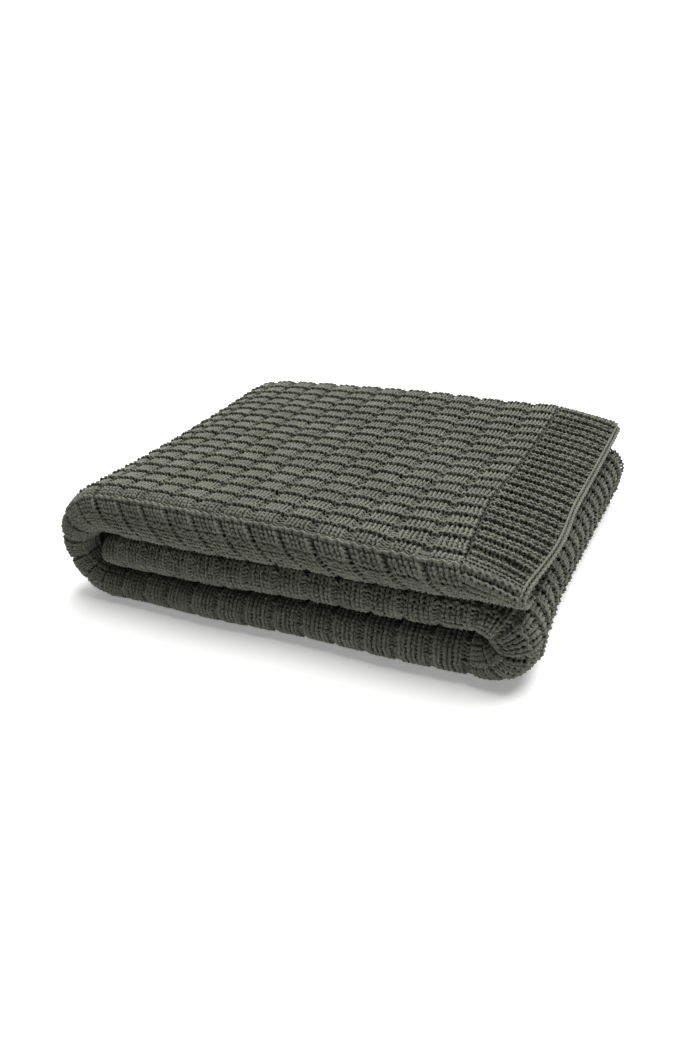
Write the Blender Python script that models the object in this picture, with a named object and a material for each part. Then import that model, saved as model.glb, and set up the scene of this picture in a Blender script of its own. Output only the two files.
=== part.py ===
"""A chunky knitted throw blanket, folded into a flat stack.

The throw is folded in half twice along its length, which makes a strip of four plies with its
round fold at the front. The strip is then folded in three: the tucked third turns up at the right
and lies in the middle, and the top third turns up at the left over it and ends in the knitted hem.
One section of the strip is carried along that route, so the whole throw is a single solid.

X runs along the strip, Y from the front to the back and Z up. The origin is on the surface that
the stack rests on, under the middle of its box. Lengths are in metres.
"""

import math
from collections import namedtuple

import bmesh
import bpy
from mathutils import Vector

MM = 0.001

# The knitting: three knit wales and one sunken purl wale make a block, and a raised purl course
# ends each band of it.
WALE = 7.3 * MM
WALES_IN_BLOCK = 4
BLOCK = WALES_IN_BLOCK * WALE
BLOCKS_ON_TOP = 12
BANDS = 17
POINTS_IN_BAND = 3
RIB_PROFILE = (0.0, 1.0, 0.5)
HEM_RIB_PROFILE = (0.0, 1.0)
RIB_HEIGHT = 1.8 * MM
PURL_WALE_DIP = 1.0 * MM

# The strip: four plies, joined by an outer and an inner fold at the front and by one at the back.
DEPTH = 324 * MM
PLIES = 4
PLY_GAP = 0.8 * MM
FRONT_ROUND = 19.5 * MM
BACK_ROUND = 16 * MM
FOLD_WALL = 8 * MM
LOWER_PLY_SHORT = 5 * MM
INNER_PLY_SHORT = 2 * MM
MIDDLE_SAG = 3 * MM
FRONT_WAVE = 1.2 * MM
WAVE_LENGTH = 190 * MM

# Steps of the round parts
OUTER_ARC_STEPS = 8
INNER_ARC_STEPS = 4
BACK_ARC_STEPS = 5
LEFT_FOLD_STEPS = 13
RIGHT_FOLD_STEPS = 9

# The folds that turn the strip over: how far the middle of the strip reaches past its last row
LEFT_REACH = 44 * MM
RIGHT_REACH = 25 * MM

# How far each third stands forward of the top one, at its front
TOP_FRONT = 0.0
BOTTOM_FRONT = -8.5 * MM
TUCKED_FRONT = -2 * MM

# The thirds, in the order in which the strip runs through them: a row for each place, with its
# X and the heights of the strip's under and upper side there, in millimetres.
Place = namedtuple("Place", "x under over")
HEM_EDGE = 239
HEM_LINE = 183
TOP_THIRD = [
    Place(HEM_EDGE, 63.0, 77.5),
    Place(231, 63.5, 82.0),
    Place(216, 64.5, 87.5),
    Place(200, 64.8, 92.0),
    Place(HEM_LINE, 64.9, 96.5),
    Place(120, 64.8, 100.0),
    Place(50, 64.7, 105.5),
    Place(-20, 64.7, 110.0),
    Place(-90, 64.8, 113.0),
    Place(-150, 65.0, 113.5),
    Place(-168, 65.3, 112.5),
]
BOTTOM_THIRD = [
    Place(-168, 0.0, 30.0),
    Place(-60, 0.0, 32.0),
    Place(60, 0.0, 34.2),
    Place(202, 0.0, 36.4),
]
TUCKED_THIRD = [
    Place(202, 37.4, 63.6),
    Place(60, 35.2, 63.8),
    Place(-60, 33.0, 63.9),
    Place(-140, 31.6, 64.0),
    Place(-160, 32.2, 63.4),
    Place(-170, 36.0, 59.6),
    Place(-174, 41.5, 54.0),
]
HEM_STATIONS = (HEM_EDGE, 231, 216, 201, 186)
BOTTOM_STATIONS = (-168, -100, -30, 40, 120, 202)
TUCKED_STATIONS = (202, 130, 60, -30, -100, -140, -160, -170, -174)

# A section's place on the route: the middle of the strip there, the way that its outer face
# looks, its thickness, where its front lies, how much its ribs stand up, whether it is in the hem
# and whether it runs along a purl wale.
Station = namedtuple("Station", "middle outward thick front ribs in_hem purl")

KNIT_COLOUR = (0.098, 0.102, 0.078, 1.0)
KNIT_ROUGHNESS = 0.95


def clear_scene():
    for thing in list(bpy.data.objects):
        bpy.data.objects.remove(thing, do_unlink=True)


def between(low, high, share):
    return low + (high - low) * share


def eased(share):
    """From 0 to 1 with a level start and end."""
    return share * share * (3 - 2 * share)


def heights(rows, x):
    """The under and upper side of a third at x millimetres, between its rows."""
    ordered = sorted(rows, key=lambda row: row.x)
    for first, second in zip(ordered, ordered[1:]):
        if first.x <= x <= second.x:
            share = (x - first.x) / (second.x - first.x)
            return (
                between(first.under, second.under, share) * MM,
                between(first.over, second.over, share) * MM,
            )
    raise ValueError(f"{x} is outside the rows")


def wavy_front(front, x):
    return front + FRONT_WAVE * math.sin(2 * math.pi * x / WAVE_LENGTH)


def flat_station(rows, x, outward, front, ribs, in_hem=False, purl=False):
    under, over = heights(rows, x)
    place = Vector((x * MM, 0, (under + over) / 2))
    return Station(
        place, outward, over - under, wavy_front(front, x * MM), ribs, in_hem, purl
    )


def top_stations():
    up = Vector((0, 0, 1))
    hem = [
        flat_station(TOP_THIRD, x, up, TOP_FRONT, 1.0, in_hem=True)
        for x in HEM_STATIONS
    ]
    half_blocks = range(2 * BLOCKS_ON_TOP + 1)
    body = [
        flat_station(
            TOP_THIRD,
            HEM_LINE - i * BLOCK / MM / 2,
            up,
            TOP_FRONT,
            1.0,
            purl=i % 2 == 0,
        )
        for i in half_blocks
    ]
    return hem + body


def fold_stations(before, after, side, reach, steps):
    """The strip's turn from one third to the next. Side is -1 at the left and 1 at the right."""
    low, high = sorted((before.middle.z, after.middle.z))
    centre = Vector((before.middle.x, 0, (low + high) / 2))
    rise = (high - low) / 2
    start = math.pi / 2 if before.middle.z > after.middle.z else -math.pi / 2
    stations = []
    for step in range(1, steps):
        share = step / steps
        angle = start - math.copysign(math.pi, start) * share
        outward = Vector((side * math.cos(angle), 0, math.sin(angle)))
        middle = centre + Vector((reach * outward.x, 0, rise * outward.z))
        lifted = min(1.0, max(0.0, 2.5 * (outward.z + 0.95)))
        stations.append(
            Station(
                middle,
                outward,
                between(before.thick, after.thick, share),
                between(before.front, after.front, eased(share)),
                lifted,
                False,
                step % 2 == 1,
            )
        )
    return stations


def route():
    """Every section's station, from the hem's edge to the tucked end."""
    up, down = Vector((0, 0, 1)), Vector((0, 0, -1))
    top = top_stations()
    bottom = [
        flat_station(BOTTOM_THIRD, x, down, BOTTOM_FRONT, 0.0) for x in BOTTOM_STATIONS
    ]
    tucked = [
        flat_station(TUCKED_THIRD, x, up, TUCKED_FRONT, 0.0) for x in TUCKED_STATIONS
    ]
    left = fold_stations(top[-1], bottom[0], -1, LEFT_REACH, LEFT_FOLD_STEPS)
    right = fold_stations(bottom[-1], tucked[0], 1, RIGHT_REACH, RIGHT_FOLD_STEPS)
    return top + left + bottom + right + tucked


def arc(centre_y, centre_out, reach_y, reach_out, steps, upward=True):
    """Half an ellipse from its lowest to its highest point, or back, bulging by reach_y."""
    points = []
    for step in range(steps + 1):
        angle = math.pi * (step / steps - 0.5) * (1 if upward else -1)
        points.append(
            (
                centre_y + reach_y * math.cos(angle),
                centre_out + reach_out * math.sin(angle),
            )
        )
    return points


def ribbed_run(station, start, end, height):
    """The outer face between the front and back rounds, with its purl courses raised."""
    profile = HEM_RIB_PROFILE if station.in_hem else RIB_PROFILE
    count = BANDS * POINTS_IN_BAND
    dip = PURL_WALE_DIP if station.purl else 0.0
    points = []
    for i in range(count):
        share = (i + 0.5) / count
        rib = RIB_HEIGHT * profile[i % len(profile)] - dip
        sag = MIDDLE_SAG * (1 - (2 * share - 1) ** 2)
        points.append(
            (between(start, end, share), height + station.ribs * (rib - sag))
        )
    return points


def section(station):
    """The outline of the four plies as (y, distance outward from the strip's middle)."""
    half = station.thick / 2
    groove = station.ribs * PURL_WALE_DIP if station.purl else 0.0
    ply = (station.thick - (PLIES - 1) * PLY_GAP) / PLIES
    front = station.front + FRONT_ROUND
    back = station.front + DEPTH
    back_centre = back - BACK_ROUND
    lower_end = back - LOWER_PLY_SHORT
    inner_end = back - INNER_PLY_SHORT
    slit = station.front + 2 * FOLD_WALL + PLY_GAP
    inner_round = FRONT_ROUND - FOLD_WALL
    core_round = inner_round - PLY_GAP
    return [
        (lower_end, -half),
        *arc(front, 0, groove - FRONT_ROUND, half, OUTER_ARC_STEPS),
        *ribbed_run(station, front, back_centre, half),
        *arc(
            back_centre,
            half - ply - PLY_GAP / 2,
            BACK_ROUND,
            ply + PLY_GAP / 2,
            BACK_ARC_STEPS,
            upward=False,
        ),
        (slit, PLY_GAP / 2),
        (slit, -PLY_GAP / 2),
        (inner_end, -PLY_GAP / 2),
        (inner_end, -PLY_GAP / 2 - ply),
        *arc(front, 0, -core_round, half - ply - PLY_GAP, INNER_ARC_STEPS),
        (back_centre, half - ply - PLY_GAP),
        (back_centre, half - ply),
        *arc(front, 0, -inner_round, half - ply, INNER_ARC_STEPS, upward=False),
        (lower_end, ply - half),
    ]


def swept_mesh():
    """A ring of points at each station, joined ring to ring and closed at both ends."""
    form = bmesh.new()
    rings = []
    for station in route():
        ring = []
        for y, out in section(station):
            point = station.middle + out * station.outward
            ring.append(form.verts.new((point.x, y, point.z)))
        rings.append(ring)
    for first, second in zip(rings, rings[1:]):
        for i in range(len(first)):
            j = (i + 1) % len(first)
            form.faces.new((first[i], first[j], second[j], second[i]))
    form.faces.new(rings[0])
    form.faces.new(list(reversed(rings[-1])))
    bmesh.ops.recalc_face_normals(form, faces=form.faces)
    seat(form)
    bmesh.ops.triangulate(form, faces=form.faces)
    mesh = bpy.data.meshes.new("blanket")
    form.to_mesh(mesh)
    form.free()
    return mesh


def seat(form):
    """Puts the middle of the box over the origin and the underside on the surface."""
    low = [min(v.co[i] for v in form.verts) for i in range(3)]
    high = [max(v.co[i] for v in form.verts) for i in range(3)]
    shift = Vector(((low[0] + high[0]) / 2, (low[1] + high[1]) / 2, low[2]))
    for vert in form.verts:
        vert.co -= shift


def knit_material():
    material = bpy.data.materials.new("olive_knit")
    material.use_nodes = True
    shader = material.node_tree.nodes["Principled BSDF"]
    shader.inputs["Base Color"].default_value = KNIT_COLOUR
    shader.inputs["Roughness"].default_value = KNIT_ROUGHNESS
    shader.inputs["Metallic"].default_value = 0.0
    return material


def make_blanket():
    mesh = swept_mesh()
    mesh.materials.append(knit_material())
    blanket = bpy.data.objects.new("blanket", mesh)
    bpy.context.scene.collection.objects.link(blanket)
    size = blanket.dimensions
    faces = len(mesh.polygons)
    print(
        f"blanket {size.x / MM:.0f} x {size.y / MM:.0f} x {size.z / MM:.0f} mm, {faces} triangles"
    )
    return blanket


clear_scene()
make_blanket()
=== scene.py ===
# %% [markdown]
# # A folded chunky-knit throw, stitch by stitch
#
# The real object is one piece of knitting: a throw in a thick, dull olive yarn. It is folded in
# half twice, so that a strip of four plies lies with its round fold towards us, and the strip is
# then folded in three like a letter. This lesson rebuilds it in two layers: a thin sheet that
# follows every fold, and on it the yarn itself, knitted by a rule from a stitch chart.

import math

import bpy
import numpy as np
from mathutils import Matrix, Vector


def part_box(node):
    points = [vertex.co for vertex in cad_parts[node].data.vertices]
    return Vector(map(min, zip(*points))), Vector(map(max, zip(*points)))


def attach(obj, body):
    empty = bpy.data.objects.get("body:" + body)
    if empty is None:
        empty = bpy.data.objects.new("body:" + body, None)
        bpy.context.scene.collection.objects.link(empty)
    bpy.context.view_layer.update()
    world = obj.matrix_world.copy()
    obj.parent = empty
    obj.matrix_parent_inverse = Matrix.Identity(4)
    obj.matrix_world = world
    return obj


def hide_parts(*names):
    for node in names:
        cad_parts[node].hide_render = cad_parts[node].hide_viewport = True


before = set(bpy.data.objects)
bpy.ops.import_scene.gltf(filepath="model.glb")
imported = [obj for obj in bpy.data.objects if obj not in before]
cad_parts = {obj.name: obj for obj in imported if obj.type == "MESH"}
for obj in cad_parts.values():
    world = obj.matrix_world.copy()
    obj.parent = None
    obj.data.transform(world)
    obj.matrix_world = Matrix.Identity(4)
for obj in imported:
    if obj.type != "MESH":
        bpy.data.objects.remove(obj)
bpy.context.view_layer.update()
low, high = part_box("blanket")
print("solid's box in mm:", [round(1000 * (b - a)) for a, b in zip(low, high)])

# Every length below is in millimetres until a mesh is made.
MM = 0.001
FLOOR_CLEARANCE = 0.3
chance = np.random.default_rng(7)

# %% [markdown]
# ## The gauge
#
# Knitting is measured in wales, the columns of stitches, and courses, the rows. Every size below
# hangs on these two, so the chart, the sheet and the yarn agree. One wale is 7.3 mm wide here and
# one course 3.44 mm high, which is what chunky yarn gives when it is knitted fairly tight. The
# four plies of the strip lie almost on one another, and the middle of a soft stack sinks a little.

# %% Gauge and strip sizes
WALE = 7.3
COURSE = 3.438
WALES_IN_BLOCK = 4
COURSES_IN_BAND = 5
COURSES_IN_HEM_PAIR = 4
HEM_WALES = 8
FIRST_COURSE = 0.66

DEPTH = 324.0
FRONT_ROUND = 19.5
BACK_ROUND = 16.0
PLIES = 4
PLY_GAP = 0.8
MIDDLE_SAG = 3.0
FRONT_WAVE = 1.2
WAVE_LENGTH = 190.0

# %% [markdown]
# ## The route of the strip
#
# Each third of the letter fold is a short table of places, with the height of the strip's under
# and upper side there in millimetres. Two half-ellipses join them: the left-hand turn and the
# right-hand turn. The strip's middle, the way that its outer face looks, its thickness and where
# its front lies are then read at many even steps, measured along the outer face, because that is
# where the wales are counted.

# %% Places along the strip
HEM_EDGE = 239.0
HEM_LINE = 183.0
LEFT_TURN = -168.0
RIGHT_TURN = 202.0
TUCKED_TIP = -174.0
TOP_THIRD = {
    "x": (-168, -150, -90, -20, 50, 120, 183, 200, 216, 231, 239),
    "under": (65.3, 65.0, 64.8, 64.7, 64.7, 64.8, 64.9, 64.8, 64.5, 63.5, 63.0),
    "over": (112.5, 113.5, 113.0, 110.0, 105.5, 100.0, 96.5, 92.0, 87.5, 82.0, 77.5),
}
BOTTOM_THIRD = {
    "x": (-168, -60, 60, 202),
    "under": (0, 0, 0, 0),
    "over": (30.0, 32.0, 34.2, 36.4),
}
TUCKED_THIRD = {
    "x": (-174, -170, -160, -140, -60, 60, 202),
    "under": (41.5, 36.0, 32.2, 31.6, 33.0, 35.2, 37.4),
    "over": (54.0, 59.6, 63.4, 64.0, 63.9, 63.8, 63.6),
}
TOP_FRONT = 0.0
BOTTOM_FRONT = -8.5
TUCKED_FRONT = -2.0
LEFT_REACH = 44.0
RIGHT_REACH = 25.0
STATION_STEP = 1.6
TURN_STATIONS = 60


def flat_run(third, start, end, looks_at, front):
    """A third's stations, as rows of x, z, angle of the outward side, thickness and front."""
    count = int(abs(end - start) / STATION_STEP) + 1
    x = np.linspace(start, end, count)
    under = np.interp(x, third["x"], third["under"])
    over = np.interp(x, third["x"], third["over"])
    same = np.ones(count)
    return np.stack([x, (under + over) / 2, looks_at * same, over - under, front * same], 1)


def turn(before, after, reach):
    """The half-ellipse from one third's last station to the next third's first."""
    share = np.linspace(0, 1, TURN_STATIONS + 2)[1:-1]
    angle = before[2] + math.pi * share
    level = (before[1] + after[1]) / 2
    rise = abs(before[1] - after[1]) / 2
    ease = share * share * (3 - 2 * share)
    return np.stack(
        [
            before[0] + reach * np.cos(angle),
            level + rise * np.sin(angle),
            angle,
            before[3] + (after[3] - before[3]) * share,
            before[4] + (after[4] - before[4]) * ease,
        ],
        1,
    )


top_run = flat_run(TOP_THIRD, HEM_EDGE, LEFT_TURN, math.pi / 2, TOP_FRONT)
bottom_run = flat_run(BOTTOM_THIRD, LEFT_TURN, RIGHT_TURN, 1.5 * math.pi, BOTTOM_FRONT)
tucked_run = flat_run(TUCKED_THIRD, RIGHT_TURN, TUCKED_TIP, 2.5 * math.pi, TUCKED_FRONT)
left_turn = turn(top_run[-1], bottom_run[0], LEFT_REACH)
right_turn = turn(bottom_run[-1], tucked_run[0], RIGHT_REACH)
runs = [top_run, left_turn, bottom_run, right_turn, tucked_run]
route = np.concatenate(runs)


def outer_places(stations):
    """Where the strip's outer face lies, in x and z."""
    half = stations[:, 3] / 2
    return np.stack(
        [
            stations[:, 0] + half * np.cos(stations[:, 2]),
            stations[:, 1] + half * np.sin(stations[:, 2]),
        ],
        1,
    )


steps = np.linalg.norm(np.diff(outer_places(route), axis=0), axis=1)
along = np.concatenate([[0], np.cumsum(steps)])
# Distances along the strip start at the hem line: the hem itself lies below zero.
along -= np.interp(-HEM_LINE, -top_run[:, 0], along[: len(top_run)])
ends = np.cumsum([len(run) for run in runs])
TOP_END, LEFT_END, BOTTOM_END, RIGHT_END, TUCKED_END = (along[i - 1] for i in ends)
print("outer face, hem edge to tucked end:", round(along[-1] - along[0]), "mm")


def station(u):
    """The strip's station at a distance u from the hem line, for a whole array of u."""
    return [np.interp(u, along, route[:, i]) for i in range(5)]


# %% [markdown]
# ## Across the strip
#
# Across the strip a second distance, v, is measured on the outer face: zero where the top turns
# into the front, positive towards the back and negative down round the front fold. A point's
# height h is measured out from that face. With u, v and h a stitch can be placed anywhere on the
# throw by its wale and course alone, and it follows every fold without any modelling by hand.
# Arc lengths of an ellipse have no simple formula, so a small table of them is made first.

# %% The outer face as a grid
ARC_STEPS = 64
ROUND_SIZES = np.linspace(2, 40, 39)
SHORT_OF_LAST = 1.001  # keeps a place just before a table's last entry
FLAT_TOP = DEPTH - FRONT_ROUND - BACK_ROUND


def arc_table(reach):
    """Angles, and the lengths gone at each of them, for each half thickness in ROUND_SIZES."""
    angle = np.linspace(0, math.pi, ARC_STEPS + 1)
    lengths = []
    for half in ROUND_SIZES:
        y, out = reach * np.sin(angle), half * np.cos(angle)
        step = np.hypot(np.diff(y), np.diff(out))
        lengths.append(np.concatenate([[0], np.cumsum(step)]))
    return angle, np.array(lengths)


FRONT_TABLE = arc_table(FRONT_ROUND)
BACK_TABLE = arc_table(BACK_ROUND)


def arc_length(table, half):
    """The whole length of a round with this half thickness."""
    return np.interp(half, ROUND_SIZES, table[1][:, -1])


def arc_angle(table, half, distance):
    """The angle from the top of the round after going a distance along it."""
    angle, lengths = table
    place = np.interp(half, ROUND_SIZES, np.arange(len(ROUND_SIZES)))
    place = np.clip(place, 0, len(ROUND_SIZES) - SHORT_OF_LAST)
    row = place.astype(int)
    part = place - row
    result = np.zeros(np.broadcast(half, distance).shape)
    for r in np.unique(row):
        chosen = row == r
        near = np.interp(distance[chosen], lengths[r], angle)
        far = np.interp(distance[chosen], lengths[r + 1], angle)
        result[chosen] = near + (far - near) * part[chosen]
    return result


def lying_share(looks):
    """One where the strip's outside looks up, nought where it looks down."""
    return np.clip(np.sin(looks) + 1.0, 0, 1)


def wavy(front, x):
    """Where the front fold lies, with its slight wave."""
    return front + FRONT_WAVE * np.sin(2 * math.pi * x / WAVE_LENGTH)


def across(u, v):
    """Points of the outer face at arrays u and v, in millimetres, before the stack is centred."""
    x, z, looks, thick, front = station(u)
    front = wavy(front, x)
    half = thick / 2
    y = front + FRONT_ROUND + v
    out = half.copy()
    round_length = arc_length(FRONT_TABLE, half)
    at_front = v < 0
    angle = arc_angle(FRONT_TABLE, half, np.clip(-v, 0, round_length))
    y = np.where(at_front, front + FRONT_ROUND - FRONT_ROUND * np.sin(angle), y)
    out = np.where(at_front, half * np.cos(angle), out)
    beyond = -v - round_length
    y = np.where(beyond > 0, front + FRONT_ROUND + beyond, y)
    share = np.clip(v / FLAT_TOP, 0, 1)
    out = out - lying_share(looks) * MIDDLE_SAG * (1 - (2 * share - 1) ** 2)
    # At the back only the outer two plies turn, round the gap between them.
    ply = (thick - (PLIES - 1) * PLY_GAP) / PLIES + PLY_GAP / 2
    at_back = v > FLAT_TOP
    turned = arc_angle(BACK_TABLE, ply, np.clip(v - FLAT_TOP, 0, None))
    y = np.where(at_back, front + DEPTH - BACK_ROUND + BACK_ROUND * np.sin(turned), y)
    out = np.where(at_back, half - ply + ply * np.cos(turned), out)
    return np.stack([x + out * np.cos(looks), y, z + out * np.sin(looks)], -1)


U_STEP, V_STEP = 2.0, 1.5
FRONT_SPARE, BACK_SPARE = 90, 60
# The middle of the solid's footprint in the places used above, which is the part's origin.
FOOTPRINT_MIDDLE = np.array([5.861, 157.455, 0.0])

u_lines = np.arange(along[0], along[-1] + U_STEP, U_STEP).clip(along[0], along[-1])
v_lines = np.arange(-FRONT_SPARE, FLAT_TOP + BACK_SPARE, V_STEP)
grid_u, grid_v = np.meshgrid(u_lines, v_lines, indexing="ij")
face_grid = across(grid_u, grid_v) - FOOTPRINT_MIDDLE


def unit(vectors):
    """The vectors, each made one long."""
    return vectors / (np.linalg.norm(vectors, axis=-1, keepdims=True) + 1e-9)


normal_grid = unit(np.cross(np.gradient(face_grid, axis=1), np.gradient(face_grid, axis=0)))
on_top = (np.abs(grid_u - TOP_END / 2) < U_STEP) & (np.abs(grid_v - FLAT_TOP / 2) < V_STEP)
if normal_grid[on_top][0, 2] < 0:
    normal_grid = -normal_grid
print("grid of the outer face:", face_grid.shape[:2])


def on_face(u, v, h):
    """Points at height h over the outer face, read smoothly between the grid's points."""
    gu = np.clip((u - u_lines[0]) / U_STEP, 0, len(u_lines) - SHORT_OF_LAST)
    gv = np.clip((v - v_lines[0]) / V_STEP, 0, len(v_lines) - SHORT_OF_LAST)
    iu, iv = gu.astype(int), gv.astype(int)
    fu, fv = (gu - iu)[..., None], (gv - iv)[..., None]

    def read(grid):
        return (
            grid[iu, iv] * (1 - fu) * (1 - fv)
            + grid[iu + 1, iv] * fu * (1 - fv)
            + grid[iu, iv + 1] * (1 - fu) * fv
            + grid[iu + 1, iv + 1] * fu * fv
        )

    outward = unit(read(normal_grid))
    return read(face_grid) + outward * h[..., None], outward


# %% [markdown]
# ## The stitch chart
#
# Three knit wales and one purl wale make a block, and every fifth course is purled right across,
# so the cloth shows bands of small tiles. The hem is garter stitch: every other course is purled,
# and its ridges draw together in pairs, with a dark slot between one pair and the next. Purl
# courses push forward and purl wales sink back on the real cloth, so the chart also gives each
# stitch its height.
#
# A folded cloth isn't even, and a few small rules bend the chart as the folds do. Rows wander on
# the top, and purl wales close up on the fronts. Columns lean on the lower part of the top front
# fold. The hem is drawn in near its front corner, and its edge bulges a little. The shoulder of the
# top third drops beside the hem, lobes are pressed together where they meet, and the cloth is tight
# round the left fold and full round the right one.

# %% Chart and relief
RIDGE_HEIGHT = 1.5
HOLE_DEPTH = 1.5
PURL_WALE_DEPTH = 3.9
HEM_SLOT_DEPTH = 3.4
HEM_HEIGHT = 0.6
HEM_PAIR_MIDDLE = 1.16
HEM_PAIR_PULL = 0.3
WANDER = 1.3
FRONT_SQUEEZE = 0.14
FRONT_SKEW = 22.0
HEM_NARROWED = 13.0
EDGE_BULGE = 4.5
SHOULDER_DROP = 5.0
PRESSED = 2.5
LEFT_TIGHT = 3.0
RIGHT_FULL = 6.0


def in_purl_course(wale, course):
    """Whether a course is purled there; the fronts of the lower two thirds have no such bands."""
    u = (wale + 1) * WALE
    low_front = (course < 0) & (((u > LEFT_END) & (u < BOTTOM_END)) | (u > RIGHT_END + 3 * WALE))
    band_end = (np.mod(course, COURSES_IN_BAND) == 1) & ~low_front
    return np.where(wale < 0, np.mod(course, 2) == 0, band_end)


def is_purl(wale, course):
    """Whether a stitch is purled, because of its course or its wale."""
    purl_wale = (np.mod(wale, WALES_IN_BLOCK) == 3) & (wale >= 0)
    return in_purl_course(wale, course) | purl_wale


def bump(distance, width):
    """A smooth hump, one high in the middle."""
    return np.exp(-((distance / width) ** 2))


def from_pair(v):
    """Courses from the middle of the nearest pair of the hem's ridges."""
    half = COURSES_IN_HEM_PAIR / 2
    return np.mod(v / COURSE - HEM_PAIR_MIDDLE + half, COURSES_IN_HEM_PAIR) - half


def from_purl_wale(u):
    """Wales from the middle of the nearest purl wale."""
    half = WALES_IN_BLOCK / 2
    return np.mod(u / WALE - half, WALES_IN_BLOCK) - half


def on_front(u, v):
    """Nought on the top and one on the front rounds, with a soft change between them."""
    return np.clip((np.where(u > LEFT_END, 6.0, -5.0) - v) / 12, 0, 1)


def drawn_together(u, v):
    """Where the cloth's own pull moves a point of the chart."""
    in_hem = u < 0
    at_front = on_front(u, v)
    pull = HEM_PAIR_PULL * np.sin(math.pi * from_pair(v) / 2) * COURSE * (1 - at_front)
    squeeze = FRONT_SQUEEZE * np.sin(math.pi * from_purl_wale(u) / 2) * WALE * at_front
    skew = FRONT_SKEW * np.clip(-(v + 14) / 34, 0, 1) ** 1.2
    skew = skew * np.clip((u + 50) / 90, 0, 1) * np.clip((TOP_END + 60 - u) / 60, 0, 1)
    aside = np.sin(v / 43 + 0.4) * np.sin(u / 61 + 1.1)
    down = np.sin(u / 33 + 1.3) * np.sin(v / 51 + 0.6)
    new_u = np.where(in_hem, u, u - squeeze) + WANDER * (1 - at_front) * aside - skew
    new_v = np.where(in_hem, v - pull, v) + WANDER * (1 - at_front) * down
    return new_u, new_v


def hem_drift(u, v):
    """How far right the hem and the blocks beside it lie, near the front corner.

    The sheet under the stitches doesn't follow it, so from right above, small holes show between
    the hem and its chain where the edge bulges.
    """
    hem_width = HEM_WALES * WALE
    near_line = np.where(u < 0, 1 + u / hem_width, 1 - u / 130).clip(0, 1)
    narrowed = HEM_NARROWED * near_line * np.clip(1 - v / 90, 0, 1)
    bulge = EDGE_BULGE * np.sin(math.pi * np.clip((v + 20) / 160, 0, 1)) ** 2
    return narrowed + bulge * np.clip(-u / hem_width, 0, 1)


def between(u, start, end):
    """Nought to one as u goes from one end to the other."""
    return np.clip((u - start) / (end - start), 0, 1)


def relief(u, v):
    """How far the cloth stands out at u and v because of its chart and its folds."""
    at_front = on_front(u, v)
    course = v / COURSE - FIRST_COURSE
    from_ridge = np.mod(course - 0.5 + 2.5, COURSES_IN_BAND) - 2.5
    from_purl = from_purl_wale(u)
    left = np.sin(math.pi * between(u, TOP_END, LEFT_END))
    right = np.sin(math.pi * between(u, BOTTOM_END, RIGHT_END))

    # Blocks: ridges stand higher on the side folds and lie flatter on the front.
    folded = np.clip((u - TOP_END) / 25, 0, 1) * np.clip((LEFT_END - u) / 25, 0, 1)
    folded = folded + np.clip((u - BOTTOM_END) / 12, 0, 1) * np.clip((RIGHT_END - u) / 12, 0, 1)
    strength = (1 - 0.75 * on_front(u, v + 5)) * (1 + 0.45 * folded)
    body = RIDGE_HEIGHT * bump(from_ridge, 0.55)
    body = body - HOLE_DEPTH * bump(from_ridge + 0.85, 0.4) * (1 - bump(from_purl, 0.6))

    # Purl wales: deeper on the top's front, and shallow by the floor.
    deeper = np.where(u < LEFT_END, 0.6, -0.1) * at_front
    sunken = PURL_WALE_DEPTH * (1 + deeper) * (1 - 0.2 * left)
    by_floor = np.where((u > LEFT_END) & (u < RIGHT_END), np.clip(1 + v / 34, 0, 1), 0)
    sunken = sunken * (1 - 0.65 * by_floor * (v < 12))
    body = body * strength - sunken * bump(from_purl, 0.45) * (1 - 0.5 * bump(from_ridge, 0.6))

    # Hem: pairs of ridges with slots between them, flatter on the dropped shoulder.
    shoulder = np.where(v > 0, np.clip(1 - v / 24, 0, 1), np.clip(1 + v / 12, 0, 1)) ** 2
    shoulder = shoulder * SHOULDER_DROP * np.clip((70 - u) / 60, 0, 1)
    from_slot = np.abs(from_pair(v)) - COURSES_IN_HEM_PAIR / 2
    hem = (HEM_HEIGHT - HEM_SLOT_DEPTH * bump(from_slot, 0.75)) * np.clip(1 + v / 60, 0.6, 1)
    hem = hem * (1 - 0.6 * shoulder / SHOULDER_DROP)
    in_hem = np.clip(-(u - 4.0) / 3.0, 0, 1)

    # Folds: pressed together where lobes meet, tight at the left and full at the right.
    pressed = PRESSED * np.where(u < TOP_END, bump(v + 50, 12), 0)
    pressed = pressed + PRESSED * np.where(u > RIGHT_END, bump(v + 8, 9), 0)
    full = RIGHT_FULL * right * np.clip((70 - v) / 90, 0, 1) * np.clip(1 + (v + 10) / 40, 0, 1)
    return body * (1 - in_hem) + hem * in_hem - shoulder + pressed - LEFT_TIGHT * left + full


# %% [markdown]
# ## The yarn
#
# One course of knitting is one unbroken yarn that waves up and down through loop after loop. Its
# path is a known curve: sideways it runs on and swings back twice a stitch, which opens each loop
# into the shape of an omega; up and down it follows a cosine. What tells knit from purl is the
# third direction: on a knit stitch the two legs lie in front and the loop's head and feet behind,
# and on a purl stitch it is the other way round. A head shows in front when the next course is
# purled through it. A four-sided tube, shaded smooth, is enough at this size.
#
# A few liberties make it read as the real cloth does: loops are flattened where a purl course
# crosses them, legs under a ridge are tucked in, and on the front folds the loops are lower and
# their yarn a little fuller, because the plies press there.

# %% Knit a patch
YARN_RADIUS = 1.28
FULLER_ON_FRONT = 0.26
YARN_LEVEL = -1.1
YARN_DEPTH = 1.35
DEEPEST_YARN = -3.6
POINTS_IN_STITCH = 8
SIDES = 4
# Loops as shares of a course or a wale.
LOOP_REACH = 0.95
FRONT_LOOP_REACH = 0.74
FLAT_REACH = 0.36
HEM_FLAT_REACH = 0.46
LOOP_SWING = 0.2
UNEVEN_LOOPS = 0.05
LOOSENESS = np.array([0.03, 0.07, 0.12]).reshape(3, 1, 1, 1)
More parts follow.
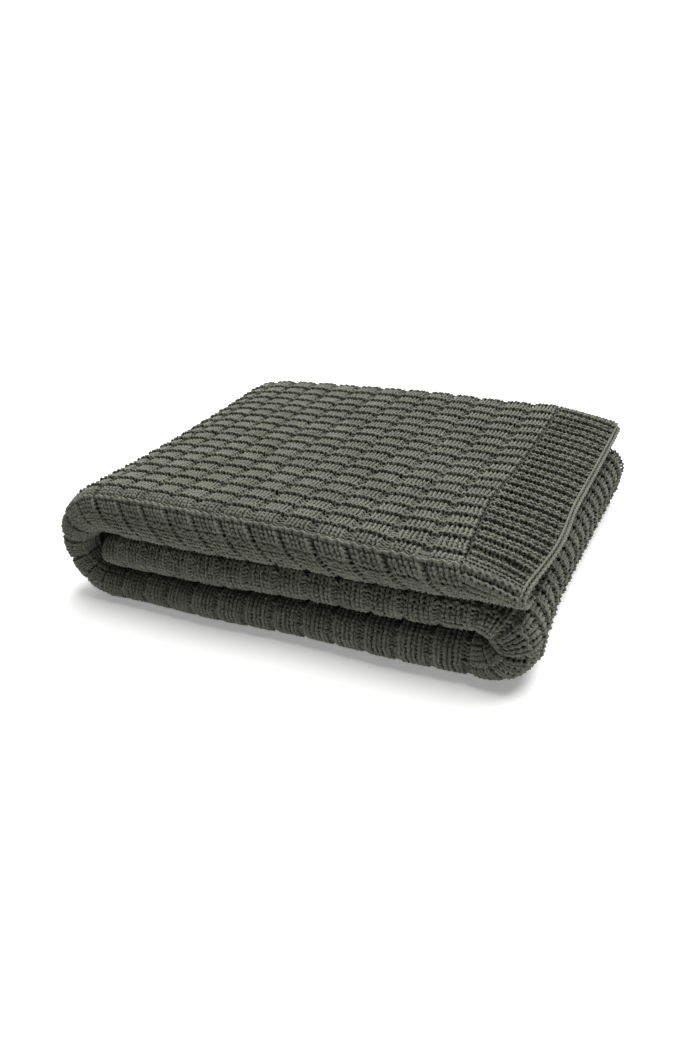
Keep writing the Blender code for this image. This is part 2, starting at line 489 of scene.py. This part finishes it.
# How far heads, feet and legs lie in front, as shares of YARN_DEPTH.
RIDGE_PUSH = 1.3
ARC_EASE_ON_FRONT = 0.35
LOW_LEG = 0.3
HIGH_LEG = -0.5
LEG_UNDER_RIDGE = -1.1
HEM_LEG_DEPTH = 1.8
FRONT_LEG_DIP = 0.3
PURL_WALE_EASE = 0.85


def lowest_at_floor(points):
    """Keeps points in millimetres just clear of the floor."""
    points[..., 2] = np.maximum(points[..., 2], FLOOR_CLEARANCE)
    return points


def tube_mesh(name, paths, outward, radius, shade):
    """One mesh of many tubes: paths and outward are arrays of (tube, point, 3)."""
    tubes, points = paths.shape[:2]
    run = unit(np.gradient(paths, axis=1))
    lift = unit(outward - (outward * run).sum(-1, keepdims=True) * run)
    aside = np.cross(run, lift)
    angle = 2 * math.pi * np.arange(SIDES) / SIDES
    radius = np.broadcast_to(radius, paths.shape[:2])[:, :, None, None]
    rings = paths[:, :, None] + radius * (
        lift[:, :, None] * np.cos(angle)[:, None] + aside[:, :, None] * np.sin(angle)[:, None]
    )
    rings = lowest_at_floor(rings)
    number = np.arange(tubes * points * SIDES).reshape(tubes, points, SIDES)
    after = np.roll(number, -1, axis=2)
    sides = [number[:, :-1], after[:, :-1], after[:, 1:], number[:, 1:]]
    quads = np.stack(sides, -1).reshape(-1, 4)
    caps = np.concatenate([number[:, 0, ::-1], number[:, -1]])
    faces = np.concatenate([quads, caps])
    mesh = bpy.data.meshes.new(name)
    mesh.vertices.add(rings.size // 3)
    mesh.vertices.foreach_set("co", (rings * MM).astype(np.float32).ravel())
    mesh.loops.add(faces.size)
    mesh.loops.foreach_set("vertex_index", faces.astype(np.int32).ravel())
    mesh.polygons.add(len(faces))
    mesh.polygons.foreach_set("loop_start", (4 * np.arange(len(faces))).astype(np.int32))
    mesh.update(calc_edges=True)
    mesh.shade_smooth()
    # The material turns the plies by the length gone along the yarn.
    length = np.linalg.norm(np.diff(paths, axis=1), axis=-1)
    length = np.concatenate([np.zeros((tubes, 1)), np.cumsum(length, 1)], 1)
    twist = np.broadcast_to(length[:, :, None], rings.shape[:3])
    tone = np.broadcast_to(shade[:, :, None], rings.shape[:3])
    for title, values in (("along", twist), ("tone", tone)):
        layer = mesh.attributes.new(title, "FLOAT", "POINT")
        layer.data.foreach_set("value", values.astype(np.float32).ravel())
    thing = bpy.data.objects.new(name, mesh)
    bpy.context.scene.collection.objects.link(thing)
    return thing


def knit(name, first_wale, last_wale, first_course, last_course):
    """A patch of stitches between two wales and two courses of the chart."""
    wales = np.arange(first_wale, last_wale)
    courses = np.arange(first_course, last_course)
    t = np.arange(POINTS_IN_STITCH) / POINTS_IN_STITCH
    course, wale, t = np.meshgrid(courses, wales, t, indexing="ij")
    ridge_above = in_purl_course(wale, course + 1)
    ridge_here = in_purl_course(wale, course)

    # Along a stitch t goes from foot to leg to head and down again.
    swing = np.sin(4 * math.pi * t)
    depth = np.cos(4 * math.pi * t)
    at_leg = np.clip(-depth, 0, 1)
    at_head = np.clip(depth, 0, 1) * (np.abs(t - 0.5) < 0.2)
    at_foot = np.clip(depth, 0, 1) - at_head
    front = np.where(is_purl(wale, course), -1.0, 1.0)
    left = np.where(is_purl(wale - 1, course), -1.0, 1.0)
    above = np.where(is_purl(wale, course + 1), -1.0, 1.0)

    # Height of head, foot and leg, and of the yarn between them.
    front_share = on_front((wale + 1) * WALE, (course + FIRST_COURSE) * COURSE)
    push = RIDGE_PUSH + (1 - ARC_EASE_ON_FRONT - RIDGE_PUSH) * front_share
    head = -above * np.where(ridge_above, push, np.where(above < 0, PURL_WALE_EASE, 1.0))
    foot = -(front + left) / 2 * np.where(ridge_here, push, 1.0)
    hidden = 1 + (LEG_UNDER_RIDGE - 1) * (1 - front_share)
    leg = front * np.where(ridge_above & (front > 0), hidden, 1.0) * (1 + 0.1 * front_share)
    leg = np.where(ridge_here & (wale >= 0), leg * (1 - 0.7 * front_share), leg)
    leg = np.where(wale < 0, leg * (1 + (HEM_LEG_DEPTH - 1) * (1 - front_share)), leg)
    between_ends = np.abs(depth) < 0.1
    plain = (front > 0) & ~(ridge_above & (front_share < 0.5))
    low_end = (foot + leg) / 2 + plain * (LOW_LEG - FRONT_LEG_DIP * front_share)
    high_end = (head + leg) / 2 + plain * (HIGH_LEG - FRONT_LEG_DIP * front_share)
    near_foot = np.abs(t - 0.5) > 0.3
    h = at_leg * leg + at_head * head + at_foot * foot
    h = h + between_ends * np.where(near_foot, low_end, high_end)

    # No hand or machine makes every loop alike.
    slack = chance.normal(0, UNEVEN_LOOPS, wale.shape[:2])[:, :, None]
    loose_u, loose_v, loose_h = chance.normal(0, 1, (3, *wale.shape[:2], 1)) * LOOSENESS
    u = (wale + 0.5 + t + (LOOP_SWING + slack * 0.4) * swing + loose_u) * WALE
    reach = LOOP_REACH + (FRONT_LOOP_REACH - LOOP_REACH) * front_share + slack
    rise = -reach * np.cos(2 * math.pi * t)
    flat = np.where(wale < 0, HEM_FLAT_REACH, FLAT_REACH)
    flat = flat + (1 - flat) * front_share
    rise = np.where(ridge_above, np.minimum(rise, flat), rise)
    rise = np.where(ridge_here, np.maximum(rise, -flat), rise)
    v = (course + FIRST_COURSE + rise + loose_v) * COURSE
    h = np.maximum(YARN_LEVEL + YARN_DEPTH * h + loose_h, DEEPEST_YARN) + relief(u, v)
    h = h + 0.15 * np.sin(u / 41.0 + 1.3) * np.sin(v / 57.0) + 0.6 * slack

    # One tube for each course, cut where the strip ends.
    rows = len(courses)
    u, v, h = (a.reshape(rows, -1) for a in (u, v, h))
    inside = (u[0] > along[0]) & (u[0] < along[-1])
    u, v, h = u[:, inside], v[:, inside], h[:, inside]
    paths, outward = on_face(*drawn_together(u, v), h)
    paths[..., 0] += hem_drift(u, v)
    tone = np.repeat(slack[:, :, 0], POINTS_IN_STITCH, axis=1)[:, inside]
    radius = YARN_RADIUS * (1 + FULLER_ON_FRONT * on_front(u, v))
    patch = tube_mesh(name, paths, outward, radius, tone)
    triangles = sum(len(p.vertices) - 2 for p in patch.data.polygons)
    print(f"{name}: {rows} courses of {len(wales)} wales, {triangles} triangles")
    return patch


# Patches meet at these wales and courses. Courses below zero lie on the front rounds.
TOP_WALES = int(TOP_END / WALE)
LEFT_WALES = int(LEFT_END / WALE)
BOTTOM_WALES = int(BOTTOM_END / WALE)
RIGHT_WALES = int(RIGHT_END / WALE) + 3
TUCKED_WALES = int(TUCKED_END / WALE)
BACK_COURSE = int(FLAT_TOP / COURSE) + 8
MID_COURSE = 38
TOP_ROUND, BOTTOM_ROUND, TUCKED_ROUND = -20, -17, -15
BACK_RIM = BACK_COURSE - 9
yarn_pieces = [
    knit("hem_stitches", -HEM_WALES, 0, TOP_ROUND, BACK_COURSE),
    knit("top_front_stitches", 0, TOP_WALES, TOP_ROUND, 0),
    knit("top_near_stitches", 0, TOP_WALES, 0, MID_COURSE),
    knit("top_far_stitches", 0, TOP_WALES, MID_COURSE, BACK_COURSE),
    knit("left_fold_near_stitches", TOP_WALES, LEFT_WALES, TOP_ROUND, MID_COURSE),
    knit("left_fold_far_stitches", TOP_WALES, LEFT_WALES, MID_COURSE, BACK_COURSE),
    knit("bottom_front_stitches", LEFT_WALES, BOTTOM_WALES, BOTTOM_ROUND, 1),
    knit("right_fold_stitches", BOTTOM_WALES, RIGHT_WALES, BOTTOM_ROUND, BACK_COURSE),
    knit("tucked_front_stitches", RIGHT_WALES, TUCKED_WALES, TUCKED_ROUND, 1),
    knit("bottom_back_stitches", LEFT_WALES, BOTTOM_WALES, BACK_RIM, BACK_COURSE),
    knit("tucked_back_stitches", RIGHT_WALES, TUCKED_WALES, BACK_RIM, BACK_COURSE),
]

# %% [markdown]
# ## The chain along the hem
#
# The hem ends in a chain of slipped stitches: each link is drawn over a little more than a course
# and a half and pulled through the one before. It lies at the rim of the ply, so it leans a little
# outward, and it runs from the back, along the edge and down round the front fold.

# %% Chain edge
LINK = 1.6 * COURSE
CHAIN_WIDTH = 7.0
CHAIN_LEAN = math.radians(12)
CHAIN_OPENING = 0.16
CHAIN_REACH = 0.8
CHAIN_RISE = 0.8
CHAIN_LEVEL = -1.3
CHAIN_FROM_END = 1.2
CHAIN_RADIUS = 1.2
CHAIN_POINTS = 9
CHAIN_BACK_SPARE = 8
CHAIN_TONE = 0.1


def chain_edge(name):
    """The chain as one tube mesh, each link a tube of its own."""
    edge_thickness = station(np.array([along[0]]))[3][0]
    front_length = float(arc_length(FRONT_TABLE, edge_thickness / 2))
    last_link = int((FLAT_TOP + CHAIN_BACK_SPARE) / LINK)
    links = np.arange(int(-front_length / LINK), last_link + 1)
    t = np.arange(CHAIN_POINTS) / (CHAIN_POINTS - 1)
    link, t = np.meshgrid(links, t, indexing="ij")
    swing = (t - 0.5 + CHAIN_OPENING * np.sin(4 * math.pi * t)) * CHAIN_WIDTH
    v = (link + 0.5 - CHAIN_REACH * np.cos(2 * math.pi * t)) * LINK
    lift = CHAIN_RISE * np.where(np.abs(t - 0.5) < 0.2, -1, -np.cos(4 * math.pi * t))
    edge = np.full_like(v, along[0] + CHAIN_FROM_END)
    level = np.full_like(v, CHAIN_LEVEL)
    place, outward = on_face(edge, v, level)
    inside, _ = on_face(edge + 4, v, level)
    beyond = place - inside
    beyond /= np.linalg.norm(beyond, axis=-1, keepdims=True)
    sideways = beyond * math.cos(CHAIN_LEAN) - outward * math.sin(CHAIN_LEAN)
    facing = beyond * math.sin(CHAIN_LEAN) + outward * math.cos(CHAIN_LEAN)
    paths = place + sideways * swing[..., None] + facing * lift[..., None]
    paths[..., 0] += hem_drift(edge, v)
    return tube_mesh(name, paths, facing, CHAIN_RADIUS, np.full(v.shape, CHAIN_TONE))


yarn_pieces.append(chain_edge("chain_edge"))

# %% [markdown]
# ## The sheet under the stitches
#
# Between the loops of a real knit one sees the backs of the same loops, dark and soft. A thin
# sheet stands in for them; its colour is painted darker than the yarn's, as painted shade for the
# gaps between loops. It is one closed band that follows all four plies and all the folds, a little
# below the yarn, so it also gives the throw its inner plies, its back and its underside, in the
# same painted shade colour.
# It goes less deep on the side that lies on the floor, so that the stack rests there. The strip is
# thin at the hem, so the inner plies are only about half a millimetre thick at their ends there.

# %% Sheet
SHEET_DEPTH = 5.0
SHEET_DEPTH_IN_HEM = 7.6
SHEET_STEP = 6.0
DEEPEST_SHARE = 0.28
HEM_SHEET_END = 2.0
SHEET_PLY_GAP = 1.4
SHEET_ROUND_INSET = 4.0
FRONT_WALL = 5.5
FLOOR_SIDE_INSET = 0.6
THINNEST_ROUND, THINNEST_CORE = 0.8, 0.4
SHEET_ENDS_IN = (2.5, 1.5)
INNER_PLIES_SHORT = 16.0
INNER_PLIES_EASE = 60.0
INNER_PLY_POINTS = slice(51, 66)
FACING_DOWN = -0.999


def half_round(y, out, reach_y, reach_out, count, upward=True):
    """Points of half an ellipse, from its lower end to its upper one or back."""
    angle = np.linspace(-math.pi / 2, math.pi / 2, count)
    if not upward:
        angle = -angle
    return [(y + reach_y * math.cos(a), out + reach_out * math.sin(a)) for a in angle]


def sheet_section(thick, front, depth, face_down):
    """The outline of the four plies as (y, out), a little inside the solid's, and its sags."""
    depth = min(depth, DEEPEST_SHARE * thick)
    gap = SHEET_PLY_GAP
    half = thick / 2 - depth
    ply = (thick - 2 * depth - (PLIES - 1) * gap) / PLIES
    near = front + FRONT_ROUND
    reach = FRONT_ROUND - SHEET_ROUND_INSET
    inner = reach - FRONT_WALL
    core = inner - gap
    back = front + DEPTH - depth
    back_reach = BACK_ROUND - depth
    back_centre = back - back_reach

    shares = np.linspace(0, 1, 33)[1:-1]
    level = half + (depth - FLOOR_SIDE_INSET) * face_down
    first = [(back - 5, -half)] + half_round(near, 0, -reach, half, 13)
    top = [(near + (back_centre - near) * share, level) for share in shares]
    rest = half_round(back_centre, half - ply - gap / 2, back_reach, ply + gap / 2, 9, False)
    rest += [(near + core, gap / 2), (near + core, -gap / 2)]
    rest += [(back - 2, -gap / 2), (back - 2, -gap / 2 - ply)]
    rest += half_round(near, 0, -core, max(half - ply - gap, THINNEST_CORE), 7)
    rest += [(back_centre, half - ply - gap), (back_centre, half - ply)]
    rest += half_round(near, 0, -inner, max(half - ply, THINNEST_ROUND), 7, False)
    rest += [(back - 5, ply - half)]
    sag = MIDDLE_SAG * (1 - (2 * shares - 1) ** 2)
    sags = np.concatenate([np.zeros(len(first)), sag, np.zeros(len(rest))])
    return np.array(first + top + rest), sags


def sheet_rings(stops):
    """The plies' outline at each stop along the strip, in millimetres."""
    x, z, looks, thick, front = station(stops)
    front = wavy(front, x)
    depth = np.where(stops < HEM_SHEET_END, SHEET_DEPTH_IN_HEM, SHEET_DEPTH)
    face_down = (np.sin(looks) < FACING_DOWN).astype(float)
    lying = lying_share(looks)
    rings = []
    for i in range(len(stops)):
        outline, sags = sheet_section(thick[i], front[i], depth[i], face_down[i])
        out = outline[:, 1] - lying[i] * sags
        places = [x[i] + out * np.cos(looks[i]), outline[:, 0], z[i] + out * np.sin(looks[i])]
        rings.append(np.stack(places, 1))
    return np.array(rings) - FOOTPRINT_MIDDLE


def make_sheet():
    """The closed band; its inner plies end a little inside the outer ones at the hem."""
    count = int((along[-1] - along[0]) / SHEET_STEP)
    stops = np.linspace(along[0] + SHEET_ENDS_IN[0], along[-1] - SHEET_ENDS_IN[1], count)
    drawn_in = INNER_PLIES_SHORT * np.clip(1 - (stops - stops[0]) / INNER_PLIES_EASE, 0, 1)
    rings = sheet_rings(stops)
    inner = sheet_rings(stops + drawn_in)
    rings[:, INNER_PLY_POINTS] = inner[:, INNER_PLY_POINTS]
    rings = lowest_at_floor(rings)
    per_ring = rings.shape[1]
    number = np.arange(count * per_ring).reshape(count, per_ring)
    after = np.roll(number, -1, axis=1)
    quads = np.stack([number[:-1], number[1:], after[1:], after[:-1]], -1).reshape(-1, 4)
    faces = quads.tolist() + [number[0].tolist(), number[-1, ::-1].tolist()]
    mesh = bpy.data.meshes.new("knitted_sheet")
    mesh.from_pydata((rings.reshape(-1, 3) * MM).tolist(), [], faces)
    mesh.update()
    mesh.shade_smooth()
    sheet = bpy.data.objects.new("knitted_sheet", mesh)
    bpy.context.scene.collection.objects.link(sheet)
    print("sheet:", len(mesh.polygons), "faces")
    return sheet


sheet = make_sheet()

# %% [markdown]
# ## Yarn material
#
# The yarn is a soft acrylic and wool blend, spun in plies and dyed one dull olive grey. Wool
# scatters light in its fuzz, so it is almost fully rough with a faint sheen, and it never shows a
# sharp highlight. Ply twist is real detail at 2.6 mm a turn, drawn as a bump along the yarn. The
# sheet is the same yarn with its colour painted darker, as painted shade for the gaps between
# the loops, with a bump at the pitch of the stitches.

# %% Materials
PLY_TURN = 2.6
PATCH_SCALE, FUZZ_SCALE = 38.0, 900.0
PLY_SHARE, STITCH_SHARE = 0.25, 0.6
YARN_BUMP, STITCH_BUMP = 0.0008, 0.002


def colour(code):
    """An sRGB hex value as linear red, green and blue."""
    parts = [int(code[i : i + 2], 16) / 255 for i in (0, 2, 4)]
    linear = [p / 12.92 if p <= 0.04045 else ((p + 0.055) / 1.055) ** 2.4 for p in parts]
    return (*linear, 1.0)


def add(tree, kind, settings=None, **links):
    """Adds a node; settings are its properties, and links join its inputs to outputs or values."""
    node = tree.nodes.new(kind)
    for key, value in (settings or {}).items():
        setattr(node, key, value)
    for key, value in links.items():
        by_number = key[0] == "i" and key[1:].isdigit()
        socket = node.inputs[int(key[1:]) if by_number else key.replace("_", " ")]
        if isinstance(value, bpy.types.NodeSocket):
            tree.links.new(value, socket)
        else:
            socket.default_value = value
    return node


def maths(tree, operation, **links):
    """A maths node's result."""
    return add(tree, "ShaderNodeMath", {"operation": operation}, **links).outputs["Value"]


def with_waves(tree, height, run, pitch, share):
    """Adds a sine along run, with one wave in each pitch, to a height."""
    turns = maths(tree, "MULTIPLY", i0=run, i1=2 * math.pi / pitch)
    wave = maths(tree, "SINE", i0=turns)
    return maths(tree, "MULTIPLY_ADD", i0=wave, i1=share, i2=height)


def yarn_material(name, light, dark, twisted):
    """Rough, faintly sheened yarn: plied where it is twisted, else only at stitch pitch."""
    material = bpy.data.materials.new(name)
    material.use_nodes = True
    tree = material.node_tree
    shader = tree.nodes["Principled BSDF"]
    place = add(tree, "ShaderNodeTexCoord").outputs["Object"]
    patchy = add(tree, "ShaderNodeTexNoise", Vector=place, Scale=PATCH_SCALE, Detail=2.0)
    fuzz = add(tree, "ShaderNodeTexNoise", Vector=place, Scale=FUZZ_SCALE, Detail=3.0)
    blend = maths(tree, "ADD", i0=patchy.outputs["Fac"], i1=fuzz.outputs["Fac"])
    ramp = add(tree, "ShaderNodeMapRange", Value=blend, From_Min=0.7, From_Max=1.3)
    shades = {"i0": ramp.outputs["Result"], "i6": colour(dark), "i7": colour(light)}
    mix = add(tree, "ShaderNodeMix", {"data_type": "RGBA"}, **shades)
    tree.links.new(mix.outputs[2], shader.inputs["Base Color"])
    height = fuzz.outputs["Fac"]
    if twisted:
        run = add(tree, "ShaderNodeAttribute", {"attribute_name": "along"}).outputs["Fac"]
        height = with_waves(tree, height, run, PLY_TURN, PLY_SHARE)
        distance = YARN_BUMP
    else:
        x, y, z = add(tree, "ShaderNodeSeparateXYZ", Vector=place).outputs
        down = maths(tree, "ADD", i0=y, i1=z)
        height = with_waves(tree, height, x, WALE / 2 * MM, STITCH_SHARE)
        height = with_waves(tree, height, down, COURSE * MM, STITCH_SHARE)
        distance = STITCH_BUMP
    uneven = add(tree, "ShaderNodeBump", Height=height, Strength=0.35, Distance=distance)
    tree.links.new(uneven.outputs["Normal"], shader.inputs["Normal"])
    shader.inputs["Roughness"].default_value = 0.92
    shader.inputs["Specular IOR Level"].default_value = 0.25
    shader.inputs["Sheen Weight"].default_value = 0.12
    shader.inputs["Sheen Roughness"].default_value = 0.6
    return material


yarn = yarn_material("olive_wool_blend_yarn", "77786b", "5b5c51", True)
# The sheet's material: the yarn's colour painted darker, as painted shade between the loops.
painted_shade_yarn = yarn_material("olive_yarn_painted_shade", "3f4037", "31322b", False)
for piece in yarn_pieces:
    piece.data.materials.append(yarn)
sheet.data.materials.append(painted_shade_yarn)

# %% [markdown]
# ## Join the pieces to the model
#
# The sheet takes the solid's place, and the stitches ride with it. Unfolded, the four plies give
# 1.30 m and the middle of the strip's route 1.35 m, which is the throw's flat size.

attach(sheet, "root")
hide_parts("blanket")
for piece in yarn_pieces:
    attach(piece, "root")

# %% [markdown]
# ## Floor, light and camera
#
# The throw lies on a pale floor that glows a little, as a light table does, so its shadow is faint.
# One large soft light hangs high and behind, which makes the top lighter than the front, and a
# second one lights the rise of the floor behind. The camera stands to the right of the front; its
# place, turn and lens were fitted to the outline and the knit's rows in the photograph.

# %% Studio
SWEEP_AT = 4.0
SWEEP_HEIGHT = 4.0
FLOOR_FRONT, FLOOR_SIDE = -6.0, 7.0
FLOOR_GLOW = 0.28
WORLD_LIGHT = 0.06
VIEW_TURN = 28.69


def make_floor():
    """A floor that curves up far behind the throw, turned to face the camera."""
    mesh = bpy.data.meshes.new("floor")
    bend = [math.radians(a) for a in range(0, 91, 10)]
    profile = [(FLOOR_FRONT, 0.0)]
    profile += [(SWEEP_AT + math.sin(a), 1 - math.cos(a)) for a in bend]
    profile += [(SWEEP_AT + 1, SWEEP_HEIGHT)]
    points = [(x, y, z) for y, z in profile for x in (-FLOOR_SIDE, FLOOR_SIDE)]
    faces = [(i, i + 1, i + 3, i + 2) for i in range(0, len(points) - 2, 2)]
    mesh.from_pydata(points, [], faces)
    mesh.shade_smooth()
    floor = bpy.data.objects.new("floor", mesh)
    floor.rotation_euler.z = math.radians(VIEW_TURN)
    bpy.context.scene.collection.objects.link(floor)
    paint = bpy.data.materials.new("pale_floor")
    paint.use_nodes = True
    shader = paint.node_tree.nodes["Principled BSDF"]
    shader.inputs["Base Color"].default_value = colour("fbfbfa")
    shader.inputs["Roughness"].default_value = 0.9
    shader.inputs["Emission Color"].default_value = (1, 1, 1, 1)
    shader.inputs["Emission Strength"].default_value = FLOOR_GLOW
    mesh.materials.append(paint)


def make_light(name, place, aim, size, power):
    """A square soft light at one place, pointed at another."""
    lamp = bpy.data.lights.new(name, "AREA")
    lamp.shape = "SQUARE"
    lamp.size = size
    lamp.energy = power
    thing = bpy.data.objects.new(name, lamp)
    bpy.context.scene.collection.objects.link(thing)
    thing.location = place
    thing.rotation_euler = (Vector(aim) - Vector(place)).to_track_quat("-Z", "Y").to_euler()


make_floor()
make_light("key_from_behind", (0.6, 1.7, 3.6), (0, 0, 0.05), 4.0, 352)
make_light("sweep_light", (-1.9, 3.4, 3.0), (-2.5, 4.4, 0.6), 3.0, 110)
world = bpy.data.worlds.new("studio")
world.use_nodes = True
background = world.node_tree.nodes["Background"]
background.inputs["Color"].default_value = (1, 1, 1, 1)
background.inputs["Strength"].default_value = WORLD_LIGHT
bpy.context.scene.world = world

# %% Camera
camera_data = bpy.data.cameras.new("camera")
camera_data.lens = 25.97
camera_data.sensor_width = 36
camera = bpy.data.objects.new("camera", camera_data)
camera.location = (0.3729, -0.5716, 0.3750)
camera.rotation_euler = [math.radians(a) for a in (62.23, 7.94, VIEW_TURN)]
bpy.context.scene.collection.objects.link(camera)
bpy.context.scene.camera = camera
bpy.context.scene.view_settings.view_transform = "Standard"
